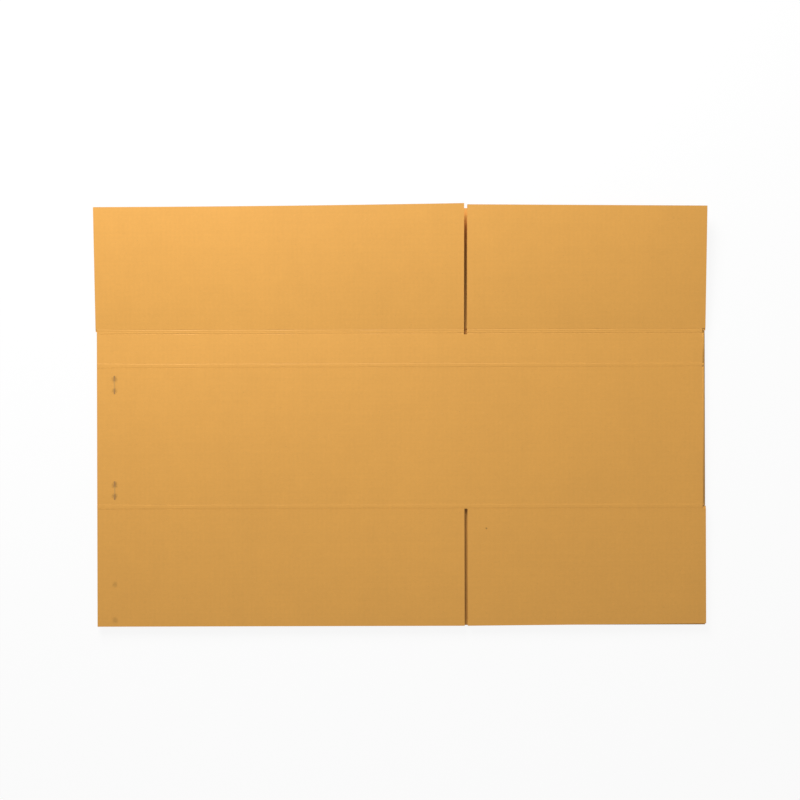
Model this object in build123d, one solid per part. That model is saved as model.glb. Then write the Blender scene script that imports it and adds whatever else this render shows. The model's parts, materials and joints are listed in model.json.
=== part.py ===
from build123d import *
import os
from math import cos, radians

# Slotted carton of single-wall corrugated board, folded flat and lying face up.
# Millimetres. X runs along the flap scores, Y runs up the face, Z is up off the table.
# The two face panels lie on top: the long one at -X, the short one at +X.
# The other two panels lie under them, and join them at the folds on the two sides.

# The carton
long_panel = 600.0          # long side wall, corner to corner
short_panel = 390.0         # short side wall, corner to corner
wall_depth = 285.0          # between the two flap scores
spare_crease_drop = 55.0    # from the upper score down to the crease for a lower box
upper_flap = 202.0          # upper flaps, score to free edge
lower_flap = 195.0          # lower flaps, score to free edge
fold_bulge = 1.0            # how far each side fold stands past its corner line
flap_overreach = 2.0        # the upper long flap reaches this far past the left fold

# The free edges are a little out of square
upper_long_rise = 5.0       # the upper long flap is this much longer at its slot
upper_long_mid_rise = 1.4   # and this much longer half way along
upper_short_rise = 3.0      # the upper short flap is this much longer at its slot
lower_short_loss = 3.0      # the lower short flap is this much shorter at its side fold

# The board and how its layers lie
board = 4.0                 # thickness of the board
lap_board = 1.6             # thickness of the joint lap, crushed by the machine
layer_rest = 1.0            # air between the lap and the panel under it
lap_width = 42.0            # the joint lap, from the left fold
lap_taper = 12.0            # slant at each end of the lap
upper_lift = 4.0            # degrees that the upper flaps spring up off the lower layer

# Scores, slots and the line that each face flap folds on
groove_radius = 1.0         # the scoring rule's nose
groove_depth = 0.7          # how deep a rule presses
groove_pair = 6.2           # between the two grooves of a score
slot_width = 5.0            # between neighbouring flaps
upper_slot_run_in = 5.0     # the upper slots run this far past the score into the wall
lower_slot_land = 4.2       # the lower slots stop this far short of the score
hinge_gap = 0.4             # parting between a face flap and the wall at the score
land_gap = 0.4              # parting between the lower flaps beside the slot's end
hinge_rise = 0.5            # the fold line lies this far above the face

# Wire stitches through the joint lap
wire_width = 2.2
wire_thick = 0.6
crown_length = 30.0         # along the fold
crown_proud = 0.3           # how far the crown stands above the face
clinch_length = 9.0         # how far each leg is turned in under the lap
clinch_drop = 0.7           # from the lap's underside to the underside of the clinch
stitch_inset = 28.5         # from the left fold to the stitches
upper_stitch_drop = 31.0    # from the spare crease down to the first stitch
lower_stitch_rise = 27.0    # from the lower score up to the second stitch
stitch_clearance = 0.05     # round the wire in the board

# Heights
under_top = board
lap_base = under_top + layer_rest
face_base = lap_base + lap_board
face_top = face_base + board
hinge_height = face_top + hinge_rise
lap_fold_radius = face_base / 2
side_fold_radius = face_top / 2

# Places across the carton
left_fold = -(long_panel + short_panel) / 2 - fold_bulge + flap_overreach / 2
right_fold = left_fold + long_panel + short_panel + 2 * fold_bulge
face_slot = left_fold + fold_bulge + long_panel
under_slot = left_fold + fold_bulge + short_panel

# Places up the carton, with the middle of its length at Y = 0
whole_length = upper_flap + upper_long_rise + wall_depth + lower_flap
lower_score = lower_flap - whole_length / 2
upper_score = lower_score + wall_depth
spare_crease = upper_score - spare_crease_drop


def prism(outline, low, high):
    """A flat outline in X and Y, given thickness from one height to another."""
    return extrude(Pos(0, 0, low) * outline, high - low)


def block(x_low, x_high, y_low, y_high, z_low, z_high):
    """A box between two corners."""
    middle = Pos((x_low + x_high) / 2, (y_low + y_high) / 2, (z_low + z_high) / 2)
    return middle * Box(x_high - x_low, y_high - y_low, z_high - z_low)


def groove(y, surface, side):
    """The mark of a scoring rule across the whole carton, pressed in from above or below."""
    center = surface + side * (groove_radius - groove_depth)
    return Pos(0, y, center) * Rot(0, 90, 0) * Cylinder(groove_radius, 2 * whole_length)


def score(y, surface, side):
    """The two grooves of one score line."""
    return [groove(y + offset, surface, side) for offset in (-groove_pair / 2, groove_pair / 2)]


def wall_section():
    """The folded walls cut across: two layers, the fold at +X and the lap joint at -X."""
    lap_bend = left_fold + lap_fold_radius
    side_bend = right_fold - side_fold_radius
    inner_bend = (face_base - under_top) / 2
    outside = Curve() + [
        Line((lap_bend, 0), (side_bend, 0)),
        ThreePointArc((side_bend, 0), (right_fold, side_fold_radius), (side_bend, face_top)),
        Polyline((side_bend, face_top), (left_fold, face_top), (left_fold, face_base), (lap_bend, face_base)),
        ThreePointArc((lap_bend, face_base), (left_fold, lap_fold_radius), (lap_bend, 0)),
    ]
    lap_end = left_fold + lap_width
    gap_middle = (under_top + face_base) / 2
    rest_middle = (under_top + lap_base) / 2
    inside = Curve() + [
        Line((lap_bend, under_top), (side_bend, under_top)),
        ThreePointArc((side_bend, under_top), (side_bend + inner_bend, gap_middle), (side_bend, face_base)),
        Polyline((side_bend, face_base), (lap_end, face_base), (lap_end, lap_base), (lap_bend, lap_base)),
        ThreePointArc((lap_bend, lap_base), (lap_bend - layer_rest / 2, rest_middle), (lap_bend, under_top)),
    ]
    return make_face(outside) - make_face(inside)


def lap_corner(score_y, toward_middle):
    """The slanted piece cut off one end of the lap, between the two layers."""
    lap_end = left_fold + lap_width
    lap_start = left_fold + 2 * lap_fold_radius
    outline = make_face(Polyline(
        (lap_start, score_y),
        (lap_end, score_y),
        (lap_end, score_y + toward_middle * lap_taper),
        close=True,
    ))
    return prism(outline, lap_base, face_base)


def under_flap(x_low, x_high, y_low, y_high):
    """One flap of the lower layer, flat on the table and in one with its panel."""
    return block(x_low, x_high, y_low, y_high, 0, under_top)


def under_flaps():
    """The four flaps of the lower layer: they open only once the face flaps are out of the way."""
    short_edge = under_slot - slot_width / 2
    long_edge = under_slot + slot_width / 2
    upper_edge = upper_score + upper_flap
    lower_edge = lower_score - lower_flap
    flaps = [
        under_flap(left_fold, short_edge, upper_score - hinge_gap, upper_edge),
        under_flap(long_edge, right_fold, upper_score - hinge_gap, upper_edge),
        under_flap(left_fold, short_edge, lower_edge, lower_score + hinge_gap),
        under_flap(long_edge, right_fold, lower_edge, lower_score + hinge_gap),
    ]
    land = block(short_edge, long_edge, lower_score - lower_slot_land, lower_score + hinge_gap, 0, under_top)
    return flaps + [land]


def slot_end(x, z_low, z_high):
    """The end of an upper slot, where it runs past the score into the wall."""
    return block(
        x - slot_width / 2, x + slot_width / 2,
        upper_score - upper_slot_run_in, upper_score + upper_slot_run_in,
        z_low, z_high,
    )


def folded_walls():
    """The four side walls folded flat, with the joint lap and the lower layer's flaps."""
    sleeve_length = wall_depth - hinge_gap
    section = Plane((0, upper_score - hinge_gap / 2, 0), x_dir=(1, 0, 0), z_dir=(0, -1, 0)) * wall_section()
    walls = extrude(section, sleeve_length)
    walls += under_flaps()
    walls -= lap_corner(upper_score, -1)
    walls -= lap_corner(lower_score, 1)
    walls -= slot_end(face_slot, face_base, face_top)
    walls -= slot_end(under_slot, 0, under_top)
    for y in (upper_score, spare_crease, lower_score):
        walls -= score(y, face_top, 1)
        walls -= score(y, 0, -1)
    for y in stitch_places():
        walls -= stitch(y, stitch_clearance)
    return walls


def face_flap(outline, score_y, toward_edge, lift):
    """A flap of the face layer, with its half of the score, turned up about its fold line."""
    flap = prism(outline, face_base, face_top)
    flap -= groove(score_y + toward_edge * groove_pair / 2, face_top, 1)
    fold_line = Axis((0, score_y, hinge_height), (1, 0, 0))
    return flap.rotate(fold_line, toward_edge * lift)


def upper_long_flap():
    """The flap above the long face panel, with a bowed free edge."""
    left = left_fold - flap_overreach
    right = face_slot - slot_width / 2
    root = upper_score + hinge_gap / 2
    edge = upper_score + upper_flap
    sides = Polyline((left, edge), (left, root), (right, root), (right, edge + upper_long_rise))
    middle = ((left + right) / 2, edge + upper_long_mid_rise)
    free_edge = ThreePointArc((right, edge + upper_long_rise), middle, (left, edge))
    outline = make_face(Curve() + [sides, free_edge])
    return face_flap(outline, upper_score, 1, upper_lift)


def upper_short_flap():
    """The flap above the short face panel."""
    left = face_slot + slot_width / 2
    root = upper_score + hinge_gap / 2
    edge = upper_score + upper_flap
    outline = make_face(Polyline(
        (left, root), (right_fold, root), (right_fold, edge), (left, edge + upper_short_rise),
        close=True,
    ))
    return face_flap(outline, upper_score, 1, upper_lift)


def lower_long_flap():
    """The flap below the long face panel, lying flat."""
    root = lower_score - hinge_gap / 2
    land = lower_score - lower_slot_land
    edge = lower_score - lower_flap
    land_side = face_slot - land_gap / 2
    slot_side = face_slot - slot_width / 2
    outline = make_face(Polyline(
        (left_fold, root), (left_fold, edge), (slot_side, edge),
        (slot_side, land), (land_side, land), (land_side, root),
        close=True,
    ))
    return face_flap(outline, lower_score, -1, 0)


def lower_short_flap():
    """The flap below the short face panel, lying flat."""
    root = lower_score - hinge_gap / 2
    land = lower_score - lower_slot_land
    edge = lower_score - lower_flap
    land_side = face_slot + land_gap / 2
    slot_side = face_slot + slot_width / 2
    outline = make_face(Polyline(
        (right_fold, root), (right_fold, edge + lower_short_loss), (slot_side, edge),
        (slot_side, land), (land_side, land), (land_side, root),
        close=True,
    ))
    return face_flap(outline, lower_score, -1, 0)


def stitch_places():
    """How far up the carton the middle of each stitch lies."""
    return (spare_crease - upper_stitch_drop, lower_score + lower_stitch_rise)


def stitch(y, grow):
    """One flat-wire stitch: crown on the face, legs through panel and lap, ends turned in."""
    half = crown_length / 2 + grow
    inner = crown_length / 2 - wire_thick - grow
    top = face_top + crown_proud + grow
    crown_base = face_top + crown_proud - wire_thick - grow
    foot = lap_base - clinch_drop - grow
    clinch_top = lap_base - clinch_drop + wire_thick + grow
    clinch_end = crown_length / 2 - clinch_length - grow
    outline = make_face(Polyline(
        (-half, top), (half, top), (half, foot), (clinch_end, foot), (clinch_end, clinch_top),
        (inner, clinch_top), (inner, crown_base), (-inner, crown_base), (-inner, clinch_top),
        (-clinch_end, clinch_top), (-clinch_end, foot), (-half, foot),
        close=True,
    ))
    side = Plane((left_fold + stitch_inset, y, 0), x_dir=(0, 1, 0), z_dir=(1, 0, 0)) * outline
    return extrude(side, wire_width / 2 + grow, both=True)


def wire_stitches():
    """The stitches that close the joint, all alike."""
    return Compound([stitch(y, 0) for y in stitch_places()])


os.makedirs("parts", exist_ok=True)
export_step(folded_walls(), "parts/folded_walls.step")
export_step(upper_long_flap(), "parts/upper_long_flap.step")
export_step(upper_short_flap(), "parts/upper_short_flap.step")
export_step(lower_long_flap(), "parts/lower_long_flap.step")
export_step(lower_short_flap(), "parts/lower_short_flap.step")
export_step(wire_stitches(), "parts/wire_stitches.step")
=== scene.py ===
import json
from math import cos, pi, radians, sin

import bpy
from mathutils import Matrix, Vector


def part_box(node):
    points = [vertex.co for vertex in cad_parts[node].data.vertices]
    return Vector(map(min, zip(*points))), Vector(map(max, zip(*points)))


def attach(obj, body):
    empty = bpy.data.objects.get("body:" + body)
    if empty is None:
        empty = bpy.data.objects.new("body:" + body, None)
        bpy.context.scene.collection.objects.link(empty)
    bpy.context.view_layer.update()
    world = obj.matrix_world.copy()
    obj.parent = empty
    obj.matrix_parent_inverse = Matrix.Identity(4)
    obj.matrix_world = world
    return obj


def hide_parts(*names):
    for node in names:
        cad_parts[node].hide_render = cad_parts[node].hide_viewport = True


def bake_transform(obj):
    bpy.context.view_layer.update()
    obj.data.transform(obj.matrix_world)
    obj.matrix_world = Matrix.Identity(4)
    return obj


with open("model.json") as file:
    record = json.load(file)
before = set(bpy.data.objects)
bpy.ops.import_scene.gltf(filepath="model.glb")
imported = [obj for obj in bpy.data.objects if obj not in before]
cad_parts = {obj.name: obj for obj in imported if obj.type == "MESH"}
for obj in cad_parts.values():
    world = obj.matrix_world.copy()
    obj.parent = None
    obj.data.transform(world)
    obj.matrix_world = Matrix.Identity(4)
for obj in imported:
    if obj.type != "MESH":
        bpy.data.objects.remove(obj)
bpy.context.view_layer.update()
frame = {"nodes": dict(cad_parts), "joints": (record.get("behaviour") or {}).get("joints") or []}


# The camera stands straight above the flat carton, with the carton's top edge at the top.
# It is turned a hair, because the carton doesn't lie quite square to the view.
camera_place = (-0.0011, 0.0248, 1.8216)
camera_turn = radians(-0.15)
camera_data = bpy.data.cameras.new("camera")
camera_data.lens = 50.0
camera_data.sensor_width = 36.0
camera = bpy.data.objects.new("camera", camera_data)
camera.location = camera_place
camera.rotation_euler = (0.0, 0.0, camera_turn)
bpy.context.scene.collection.objects.link(camera)
bpy.context.scene.camera = camera
bpy.context.scene.view_settings.view_transform = "Standard"


# The folded walls: two layers of kraft board, with the fold at each side and the joint lap.
# The board is two brown kraft liners glued to a fluted sheet, scored by a rotary press.
# This is the frame's own shape, cut off at the scores, where the flaps' own boards begin.
kraft_tone = (0.71, 0.345, 0.062)
kraft_fleck = (0.30, 0.14, 0.04, 1.0)
kraft_lint = (0.90, 0.60, 0.28, 1.0)
kraft_gloss = 0.55
kraft_roughness = 0.47
fleck_share = 0.35
lint_share = 0.25
flute_pitch = 0.0076
flute_shadow = 0.008
wave_turn = 20.0                                    # radians a metre in a Wave texture at a scale of 1
stitch_line = -0.4665
# Painted shade round the holes at each end of both wire stitches, and dark marks and a speck on the flaps,
# each darkening the liner round one place.
painted_hole_shade_and_marks = (                                         # x, y, half width, half length, darkening
    (stitch_line, 0.0595, 0.0072, 0.0075, 0.30),    # painted shade round the holes at each end of the upper stitch
    (stitch_line, 0.0410, 0.0066, 0.0065, 0.26),
    (stitch_line, -0.1125, 0.0072, 0.0080, 0.38),   # painted shade round the holes at each end of the lower stitch
    (stitch_line, -0.1305, 0.0066, 0.0070, 0.36),
    (stitch_line, -0.2745, 0.0060, 0.0075, 0.22),   # two dark marks on the lower long flap
    (stitch_line, -0.3330, 0.0066, 0.0080, 0.20),
    (0.1391, -0.1847, 0.0024, 0.0024, 0.55),        # a speck on the lower short flap
)
walls_low, walls_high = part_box("folded_walls")
fold_lines = {joint["name"]: joint["pos_m"] for joint in frame["joints"]}
upper_score = fold_lines["upper_long_fold"][1]
lower_score = fold_lines["lower_long_fold"][1]
hinge_height = fold_lines["upper_long_fold"][2]
hinge_gap = 0.0004
wall_cut = 1.5 * hinge_gap                          # the walls stop this far short of each score
merge_distance = 1e-6


def add_node(tree, kind, inputs=None, **settings):
    """A node with its settings, and with its inputs given as values or as sockets to link."""
    made = tree.nodes.new(kind)
    for name, value in settings.items():
        setattr(made, name, value)
    for name, value in (inputs or {}).items():
        socket = made.inputs[name]
        if isinstance(value, bpy.types.NodeSocket):
            tree.links.new(value, socket)
        else:
            socket.default_value = value
    return made


def calculate(tree, operation, first, second=0.0):
    """One Math node's result."""
    return add_node(tree, "ShaderNodeMath", {0: first, 1: second}, operation=operation).outputs[0]


def pattern(tree, where, stretch, detail=3.0, roughness=0.5):
    """Noise over the sheet, with as many waves a metre along each axis as stretch says."""
    placed = add_node(tree, "ShaderNodeMapping", {"Vector": where, "Scale": stretch})
    noise = add_node(tree, "ShaderNodeTexNoise", {
        "Vector": placed.outputs[0], "Scale": 1.0, "Detail": detail, "Roughness": roughness,
    })
    return noise.outputs["Fac"]


def mix_colour(tree, amount, first, second):
    """One colour laid over another."""
    return add_node(tree, "ShaderNodeMix", {0: amount, 6: first, 7: second}, data_type="RGBA").outputs[2]


def threshold(tree, value, low, high):
    """0 below low, 1 above high, smooth between."""
    step = add_node(tree, "ShaderNodeMapRange", {
        "Value": value, "From Min": low, "From Max": high,
    }, interpolation_type="SMOOTHSTEP")
    return step.outputs["Result"]


def swing(tree, source, strength):
    """A pattern's swing about its middle, up to half the strength each way."""
    return calculate(tree, "MULTIPLY", calculate(tree, "SUBTRACT", source, 0.5), strength)


def shade_and_mark_darkening(tree, where, x, y, half_width, half_length, strength):
    """How far a spot darkens the liner round one place, with a ragged rim. At the stitch ends this is
    painted shade round the holes; elsewhere the spots are two dark marks and a speck.
    """
    placed = add_node(tree, "ShaderNodeMapping", {
        "Vector": where, "Location": (-x / half_width, -y / half_length, 0.0),
        "Scale": (1 / half_width, 1 / half_length, 0.0),
    })
    length = add_node(tree, "ShaderNodeVectorMath", {0: placed.outputs[0]}, operation="LENGTH")
    ragged = pattern(tree, where, (700.0, 500.0, 500.0), 2.0)
    nearness = calculate(tree, "MULTIPLY", calculate(tree, "ADD", length.outputs["Value"], ragged), -1.0)
    return calculate(tree, "MULTIPLY", threshold(tree, nearness, -1.4, -0.7), strength)


def kraft_liner(name, tone=kraft_tone, stored_place=False):
    """Unbleached kraft liner: cloudy, finely mottled, with fibres across the carton and a few flecks."""
    material = bpy.data.materials.new(name)
    material.use_nodes = True
    tree = material.node_tree
    shader = tree.nodes["Principled BSDF"]
    if stored_place:
        where = add_node(tree, "ShaderNodeAttribute", attribute_name="sheet").outputs["Vector"]
    else:
        where = add_node(tree, "ShaderNodeTexCoord").outputs["Object"]
    cloud = pattern(tree, where, (3.0, 2.2, 3.0), 2.0)
    patches = pattern(tree, where, (38.0, 26.0, 38.0), 3.0, 0.55)
    mottle = pattern(tree, where, (260.0, 190.0, 260.0), 4.0, 0.65)
    fibres = pattern(tree, where, (150.0, 1500.0, 900.0), 3.0, 0.6)
    streaks = pattern(tree, where, (2.5, 240.0, 60.0), 3.0, 0.6)
    ridges = add_node(tree, "ShaderNodeTexWave", {
        "Vector": where, "Scale": 2 * pi / (wave_turn * flute_pitch), "Distortion": 0.0,
    }, wave_type="BANDS", bands_direction="X").outputs["Fac"]
    shade = 1.0
    for source, strength in (
        (cloud, 0.10), (patches, 0.07), (mottle, 0.09), (fibres, 0.10), (streaks, 0.05),
        (ridges, flute_shadow),
    ):
        shade = calculate(tree, "ADD", swing(tree, source, strength), shade)
    # Painted shade at the stitch holes, and the dark marks and the speck, darken the liner.
    for darkened_spot in painted_hole_shade_and_marks:
        shade = calculate(tree, "SUBTRACT", shade, shade_and_mark_darkening(tree, where, *darkened_spot))
    colour = add_node(tree, "ShaderNodeVectorMath", {0: tone, "Scale": shade}, operation="SCALE").outputs[0]
    flecks = threshold(tree, pattern(tree, where, (420.0, 800.0, 500.0), 2.0), 0.70, 0.76)
    colour = mix_colour(tree, calculate(tree, "MULTIPLY", flecks, fleck_share), colour, kraft_fleck)
    lint = threshold(tree, pattern(tree, where, (300.0, 1300.0, 500.0), 2.0), 0.71, 0.77)
    colour = mix_colour(tree, calculate(tree, "MULTIPLY", lint, lint_share), colour, kraft_lint)
    tree.links.new(colour, shader.inputs["Base Color"])
    shader.inputs["Specular IOR Level"].default_value = kraft_gloss
    roughness = calculate(tree, "ADD", calculate(tree, "MULTIPLY", patches, 0.10), kraft_roughness)
    tree.links.new(roughness, shader.inputs["Roughness"])
    height = 0.0
    for source, strength in ((mottle, 0.5), (fibres, 0.5), (ridges, 0.25)):
        height = calculate(tree, "ADD", height, calculate(tree, "MULTIPLY", source, strength))
    bump = add_node(tree, "ShaderNodeBump", {"Height": height, "Strength": 0.25, "Distance": 0.0003})
    tree.links.new(bump.outputs[0], shader.inputs["Normal"])
    return material


def cut_away(y, keep_above):
    """Cuts the object being edited across the carton and closes the cut."""
    bpy.ops.mesh.select_all(action="SELECT")
    bpy.ops.mesh.bisect(
        plane_co=(0.0, y, 0.0), plane_no=(0.0, 1.0, 0.0), use_fill=True,
        clear_inner=keep_above, clear_outer=not keep_above, threshold=merge_distance,
    )


kraft = kraft_liner("kraft_liner")
bpy.ops.object.select_all(action="DESELECT")
walls = frame["nodes"]["folded_walls"].copy()
walls.data = walls.data.copy()
walls.name = walls.data.name = "walls_board"
walls.parent = None
bpy.context.scene.collection.objects.link(walls)
walls.select_set(True)
bpy.context.view_layer.objects.active = walls
bpy.ops.object.mode_set(mode="EDIT")
bpy.ops.mesh.select_all(action="SELECT")
bpy.ops.mesh.remove_doubles(threshold=merge_distance)
cut_away(upper_score - wall_cut, keep_above=False)
cut_away(lower_score + wall_cut, keep_above=True)
bpy.ops.object.mode_set(mode="OBJECT")
walls.data.materials.clear()
walls.data.materials.append(kraft)
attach(walls, "walls")
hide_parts("folded_walls")


# The flaps: the same board past the scores, cut free from each other by the slots.
# Each is two kraft liners on a fluted sheet, whose open channels show along the free edge.
fluting_tone = (0.38, 0.21, 0.07)
liner_thickness = 0.00035
fluting_thickness = 0.0003
samples_a_flute = 8
fluting_short_of_side = 0.0002
fluting_short_of_edge = 0.0003
liner_columns = 24
crushed_width = 0.0043                              # the strip at the score that the press crushes
crushed_ramp = 0.0004
crushed_by = 0.0009
flap_lift = radians(4.0)                            # the upper flaps spring up
long_rise = 0.005                                   # the free edges are a little out of square
long_mid_rise = 0.0014
short_rise = 0.003
short_loss = 0.003
under_slot = -0.104
face_top = walls_high.z
face_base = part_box("lower_long_flap")[0].z
board_thickness = face_top - face_base
left_fold = walls_low.x
right_fold = walls_high.x
long_flap_low, long_flap_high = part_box("upper_long_flap")
short_flap_low, short_flap_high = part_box("upper_short_flap")
face_slot = (long_flap_high.x + short_flap_low.x) / 2
slot_half = (short_flap_low.x - long_flap_high.x) / 2
upper_reach = walls_high.y - upper_score
lower_reach = lower_score - walls_low.y
fluting = kraft_liner("fluting_paper", fluting_tone)


def square(along):
    """A free edge that is square."""
    return 0.0


def bowed_rise(along):
    """The upper long flap is longer towards its slot, along a slight bow."""
    return long_mid_rise * 4 * along * (1 - along) + long_rise * along * (2 * along - 1)


def slanted_rise(along):
    """The upper short flap is longer at its slot."""
    return short_rise * (1 - along)


def slanted_loss(along):
    """The lower short flap is shorter at its side fold."""
    return -short_loss * along


def flap_sheet(x_low, x_high, score, side, root, reach, rise, columns):
    """One flat sheet of a flap, at height 0, with its rows on the crushed strip at height -1."""
    bpy.ops.object.select_all(action="DESELECT")
    bpy.ops.mesh.primitive_grid_add(x_subdivisions=columns, y_subdivisions=3, size=2.0)
    sheet = bpy.context.object
    rows = (root, crushed_width - crushed_ramp, crushed_width, reach)
    for point in sheet.data.vertices:
        row = round((point.co.y + 1.0) * 1.5)
        along = (point.co.x + 1.0) / 2
        point.co.x = x_low + (x_high - x_low) * along
        point.co.y = score + side * (rows[row] + (rise(along) if row == 3 else 0.0))
        point.co.z = -1.0 if row < 2 else 0.0
    if side < 0:
        bpy.ops.object.mode_set(mode="EDIT")
        bpy.ops.mesh.select_all(action="SELECT")
        bpy.ops.mesh.flip_normals()
        bpy.ops.object.mode_set(mode="OBJECT")
    return sheet


def thicken(sheet, thickness, material):
    """Gives a sheet its thickness, half each way, and its paper."""
    paper = sheet.modifiers.new("paper", "SOLIDIFY")
    paper.thickness = thickness
    paper.offset = 0.0
    bpy.context.view_layer.objects.active = sheet
    bpy.ops.object.modifier_apply(modifier="paper")
    sheet.data.materials.append(material)


def lift_flap(side, score, lift):
    """Turns the active object up about its fold line."""
    bpy.ops.object.mode_set(mode="EDIT")
    bpy.ops.mesh.select_all(action="SELECT")
    bpy.ops.transform.rotate(
        value=-side * lift, orient_axis="X", orient_type="GLOBAL",
        center_override=(0.0, score, hinge_height),
    )
    bpy.ops.object.mode_set(mode="OBJECT")


def flap_board(name, x_low, x_high, side, root, rise, base, lift=0.0):
    """A whole flap of corrugated board on one side of the walls, lifted about its fold line."""
    score, reach = (upper_score, upper_reach) if side > 0 else (lower_score, lower_reach)
    top = flap_sheet(x_low, x_high, score, side, root, reach, rise, liner_columns)
    bottom = flap_sheet(x_low, x_high, score, side, root, reach, rise, liner_columns)
    medium = flap_sheet(
        x_low + fluting_short_of_side, x_high - fluting_short_of_side, score, side, root,
        reach - fluting_short_of_edge, rise, round((x_high - x_low) / flute_pitch * samples_a_flute),
    )
    half_wave = (board_thickness - 2 * liner_thickness - fluting_thickness) / 2
    for point in top.data.vertices:
        point.co.z = base + board_thickness - liner_thickness / 2 + point.co.z * crushed_by
    for point in bottom.data.vertices:
        point.co.z = base + liner_thickness / 2
    for point in medium.data.vertices:
        crush = point.co.z * crushed_by / 2
        wave = cos(2 * pi * (point.co.x - x_low) / flute_pitch)
        point.co.z = base + board_thickness / 2 + crush + (half_wave + crush) * wave
    thicken(top, liner_thickness, kraft)
    thicken(bottom, liner_thickness, kraft)
    thicken(medium, fluting_thickness, fluting)
    bpy.ops.object.select_all(action="DESELECT")
    for sheet in (bottom, medium, top):
        sheet.select_set(True)
    bpy.context.view_layer.objects.active = top
    bpy.ops.object.join()
    flap = bpy.context.object
    flap.name = flap.data.name = name
    if lift:
        lift_flap(side, score, lift)
    return flap


face_flaps = (
    ("upper_long", long_flap_low.x, face_slot - slot_half, 1, bowed_rise, flap_lift),
    ("upper_short", face_slot + slot_half, right_fold, 1, slanted_rise, flap_lift),
    ("lower_long", left_fold, face_slot - slot_half, -1, square, 0.0),
    ("lower_short", face_slot + slot_half, right_fold, -1, slanted_loss, 0.0),
)
for title, x_low, x_high, side, rise, lift in face_flaps:
    flap = flap_board(title + "_board", x_low, x_high, side, hinge_gap / 2, rise, face_base, lift)
    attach(flap, title + "_flap")
    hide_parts(title + "_flap")
under_flaps = (
    ("under_upper_short", left_fold, under_slot - slot_half, 1),
    ("under_upper_long", under_slot + slot_half, right_fold, 1),
    ("under_lower_short", left_fold, under_slot - slot_half, -1),
    ("under_lower_long", under_slot + slot_half, right_fold, -1),
)
for title, x_low, x_high, side in under_flaps:
    flap = flap_board(title + "_board", x_low, x_high, side, -wall_cut, square, 0.0)
    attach(flap, "walls")


# The wire stitches that close the joint: flat coppered steel wire, driven through panel and lap
# and turned in below. Only their crowns show on the face, dulled and pressed almost level with it.
wire_dull = (0.30, 0.15, 0.045, 1.0)
wire_worn = (0.44, 0.24, 0.08, 1.0)
wire_papered = (0.56, 0.30, 0.075, 1.0)             # the middle of a crown, under torn liner fibres
wire_metal = 0.4
wire_roughness = 0.5
stitches_low, stitches_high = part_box("wire_stitches")
crown_length = 0.030
stitches_middle = (stitches_low.y + stitches_high.y) / 2
stitch_from_middle = (stitches_high.y - stitches_low.y - crown_length) / 2
wire = bpy.data.materials.new("coppered_wire")
wire.use_nodes = True
wire_tree = wire.node_tree
wire_shader = wire_tree.nodes["Principled BSDF"]
wire_place = add_node(wire_tree, "ShaderNodeTexCoord").outputs["Object"]
wire_y = add_node(wire_tree, "ShaderNodeSeparateXYZ", {0: wire_place}).outputs["Y"]
from_middle = calculate(wire_tree, "ABSOLUTE", calculate(wire_tree, "SUBTRACT", wire_y, stitches_middle))
from_stitch = calculate(wire_tree, "SUBTRACT", from_middle, stitch_from_middle)
from_stitch = calculate(wire_tree, "ABSOLUTE", from_stitch)
wire_ends = threshold(wire_tree, from_stitch, 0.004, 0.008)
wire_grain = pattern(wire_tree, wire_place, (3000.0, 400.0, 3000.0), 3.0)
wire_colour = mix_colour(wire_tree, wire_grain, wire_dull, wire_worn)
wire_colour = mix_colour(wire_tree, wire_ends, wire_papered, wire_colour)
wire_tree.links.new(wire_colour, wire_shader.inputs["Base Color"])
wire_shader.inputs["Metallic"].default_value = wire_metal
wire_shader.inputs["Roughness"].default_value = wire_roughness
for place in frame["nodes"]["wire_stitches"].material_slots:
    place.material = wire


# The creases: the liner of the same board, pressed into two grooves by the scoring rule.
# The board is whole at the four scores, so each strip there is bent to its flap's present lift,
# but isn't attached to the flap and doesn't turn with it. A fifth strip lies over the spare crease,
# which is for a lower box and doesn't move.
spare_score = 0.0815
right_bend = 0.4917                                 # where the side fold's round begins
crease_half = 0.0042
groove_place = 0.0031
groove_half = 0.00095
upper_press = 0.00038
spare_press = 0.00026
lower_press = 0.00019
crease_fade = 0.020
faint_press = 0.1
crease_proud = 0.00012
rim_sink = 0.6                                      # the strip's rim lies this share of it under the face
rim_rows = 2
crease_thickness = 0.0004
row_step = 0.00035
column_step = 0.006
bend_share = 0.5                                    # of the flap's side of a strip, which takes the bend
kraft_crease = kraft_liner("kraft_crease", stored_place=True)


def crease_depth(across, along, press):
    """How deep the two grooves are at a point: the rule presses unevenly, and hardly at the folded edge."""
    distance = abs(abs(across) - groove_place)
    if distance > groove_half:
        return 0.0
    unevenness = 0.72 + 0.28 * sin(23.0 * along) * sin(61.0 * along + 1.0)
    fade = max(faint_press, min(1.0, (along - left_fold - crease_fade / 2) / crease_fade))
    return press * unevenness * fade * cos(pi / 2 * distance / groove_half) ** 2


def lift_crease(strip, score, side, lift):
    """Bends the flap's side of a strip up about the fold line."""
    for point in strip.data.vertices:
        across = side * (point.co.y - score) / crease_half
        if across > 0:
            turn = lift * min(1.0, across / bend_share)
            arm = Vector((0.0, point.co.y - score, point.co.z - hinge_height))
            point.co.y = score + arm.y * cos(turn) - side * arm.z * sin(turn)
            point.co.z = hinge_height + side * arm.y * sin(turn) + arm.z * cos(turn)


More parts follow.
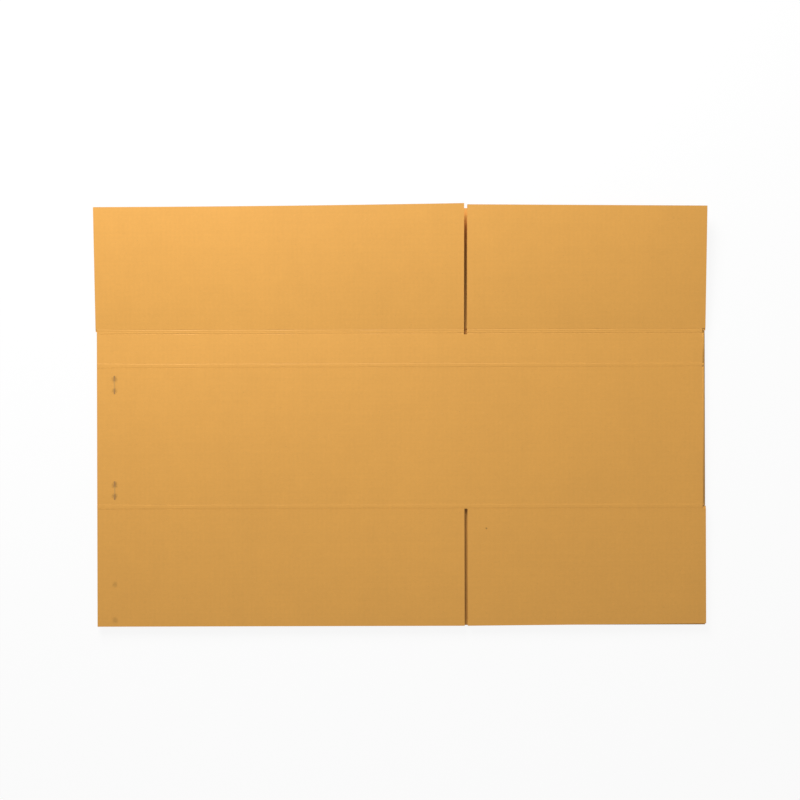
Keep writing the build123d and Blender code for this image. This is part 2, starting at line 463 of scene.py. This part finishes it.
def crease(name, body, x_low, x_high, score, side, press, lift=0.0):
    """A strip of liner along one crease, which bends between the walls and a flap or rides the walls."""
    bpy.ops.object.select_all(action="DESELECT")
    bpy.ops.mesh.primitive_grid_add(
        x_subdivisions=round((x_high - x_low) / column_step),
        y_subdivisions=round(2 * crease_half / row_step), size=1.0,
    )
    strip = bpy.context.object
    strip.name = strip.data.name = name
    strip.scale = (x_high - x_low, 2 * crease_half, 1.0)
    strip.location = ((x_low + x_high) / 2, score, face_top)
    bpy.ops.object.transform_apply(location=True, rotation=True, scale=True)
    for point in strip.data.vertices:
        across = point.co.y - score
        rim = min(1.0, (crease_half - abs(across)) / (rim_rows * row_step))
        point.co.z += crease_proud * ((1 + rim_sink) * rim - rim_sink)
        point.co.z -= crease_depth(across, point.co.x, press)
    liner = strip.modifiers.new("liner", "SOLIDIFY")
    liner.thickness = crease_thickness
    liner.offset = -1.0
    bpy.ops.object.modifier_apply(modifier="liner")
    places = strip.data.attributes.new("sheet", "FLOAT_VECTOR", "POINT")
    for point, kept in zip(strip.data.vertices, places.data):
        kept.vector = point.co
    if lift:
        lift_crease(strip, score, side, lift)
    strip.data.materials.append(kraft_crease)
    bpy.ops.object.shade_smooth_by_angle(angle=radians(50))
    if body == "walls":
        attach(strip, body)
    else:
        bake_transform(strip)


long_side = left_fold, face_slot - slot_half
short_side = face_slot + slot_half, right_bend
crease("upper_long_crease", "upper_long_flap", *long_side, upper_score, 1, upper_press, flap_lift)
crease("upper_short_crease", "upper_short_flap", *short_side, upper_score, 1, upper_press, flap_lift)
crease("lower_long_crease", "lower_long_flap", left_fold, face_slot, lower_score, -1, lower_press)
crease("lower_short_crease", "lower_short_flap", face_slot, right_bend, lower_score, -1, lower_press)
crease("spare_crease", "walls", left_fold, right_bend, spare_score, 1, spare_press)


# The table, a wide pale board that the carton lies on, and soft studio light.
# A large soft lamp stands beyond the carton's top edge, a little to the left, over an even sky.
floor_tone = (0.92, 0.92, 0.92, 1.0)
white = (1.0, 1.0, 1.0, 1.0)
floor_size = 12.0
floor_drop = 0.0004
floor_whiteness = 0.9                               # the rest of what shows is the floor's own shading
sky_strength = 0.30
lamp_place = (-0.60, 1.75, 1.15)
lamp_aim = (0.0, 0.1, 0.0)
lamp_size = 1.0
lamp_power = 61.0


def seen_directly(tree):
    """1 for what the camera sees straight or in a gloss, 0 for light."""
    rays = add_node(tree, "ShaderNodeLightPath")
    return calculate(tree, "MAXIMUM", rays.outputs["Is Camera Ray"], rays.outputs["Is Glossy Ray"])


bpy.ops.object.select_all(action="DESELECT")
bpy.ops.mesh.primitive_plane_add(size=floor_size, location=(0.0, 0.0, -floor_drop))
floor = bpy.context.object
floor.name = "floor"
floor_material = bpy.data.materials.new("floor")
floor_material.use_nodes = True
floor_tree = floor_material.node_tree
floor_tree.nodes.remove(floor_tree.nodes["Principled BSDF"])
floor_matt = add_node(floor_tree, "ShaderNodeBsdfDiffuse", {"Color": floor_tone})
floor_white = add_node(floor_tree, "ShaderNodeEmission", {"Color": white, "Strength": 1.0})
floor_mix = add_node(floor_tree, "ShaderNodeMixShader", {
    0: calculate(floor_tree, "MULTIPLY", seen_directly(floor_tree), floor_whiteness),
    1: floor_matt.outputs[0], 2: floor_white.outputs[0],
})
floor_tree.links.new(floor_mix.outputs[0], floor_tree.nodes["Material Output"].inputs["Surface"])
floor.data.materials.append(floor_material)

world = bpy.data.worlds.new("studio")
bpy.context.scene.world = world
world.use_nodes = True
sky_tree = world.node_tree
sky = sky_tree.nodes["Background"]
sky_extra = calculate(sky_tree, "MULTIPLY", seen_directly(sky_tree), 1.0 - sky_strength)
sky.inputs["Color"].default_value = white
sky_tree.links.new(calculate(sky_tree, "ADD", sky_extra, sky_strength), sky.inputs["Strength"])

lamp_data = bpy.data.lights.new("key_lamp", "AREA")
lamp_data.size = lamp_size
lamp_data.energy = lamp_power
lamp = bpy.data.objects.new("key_lamp", lamp_data)
lamp.location = lamp_place
lamp.rotation_euler = (Vector(lamp_aim) - Vector(lamp_place)).to_track_quat("-Z", "Y").to_euler()
bpy.context.scene.collection.objects.link(lamp)
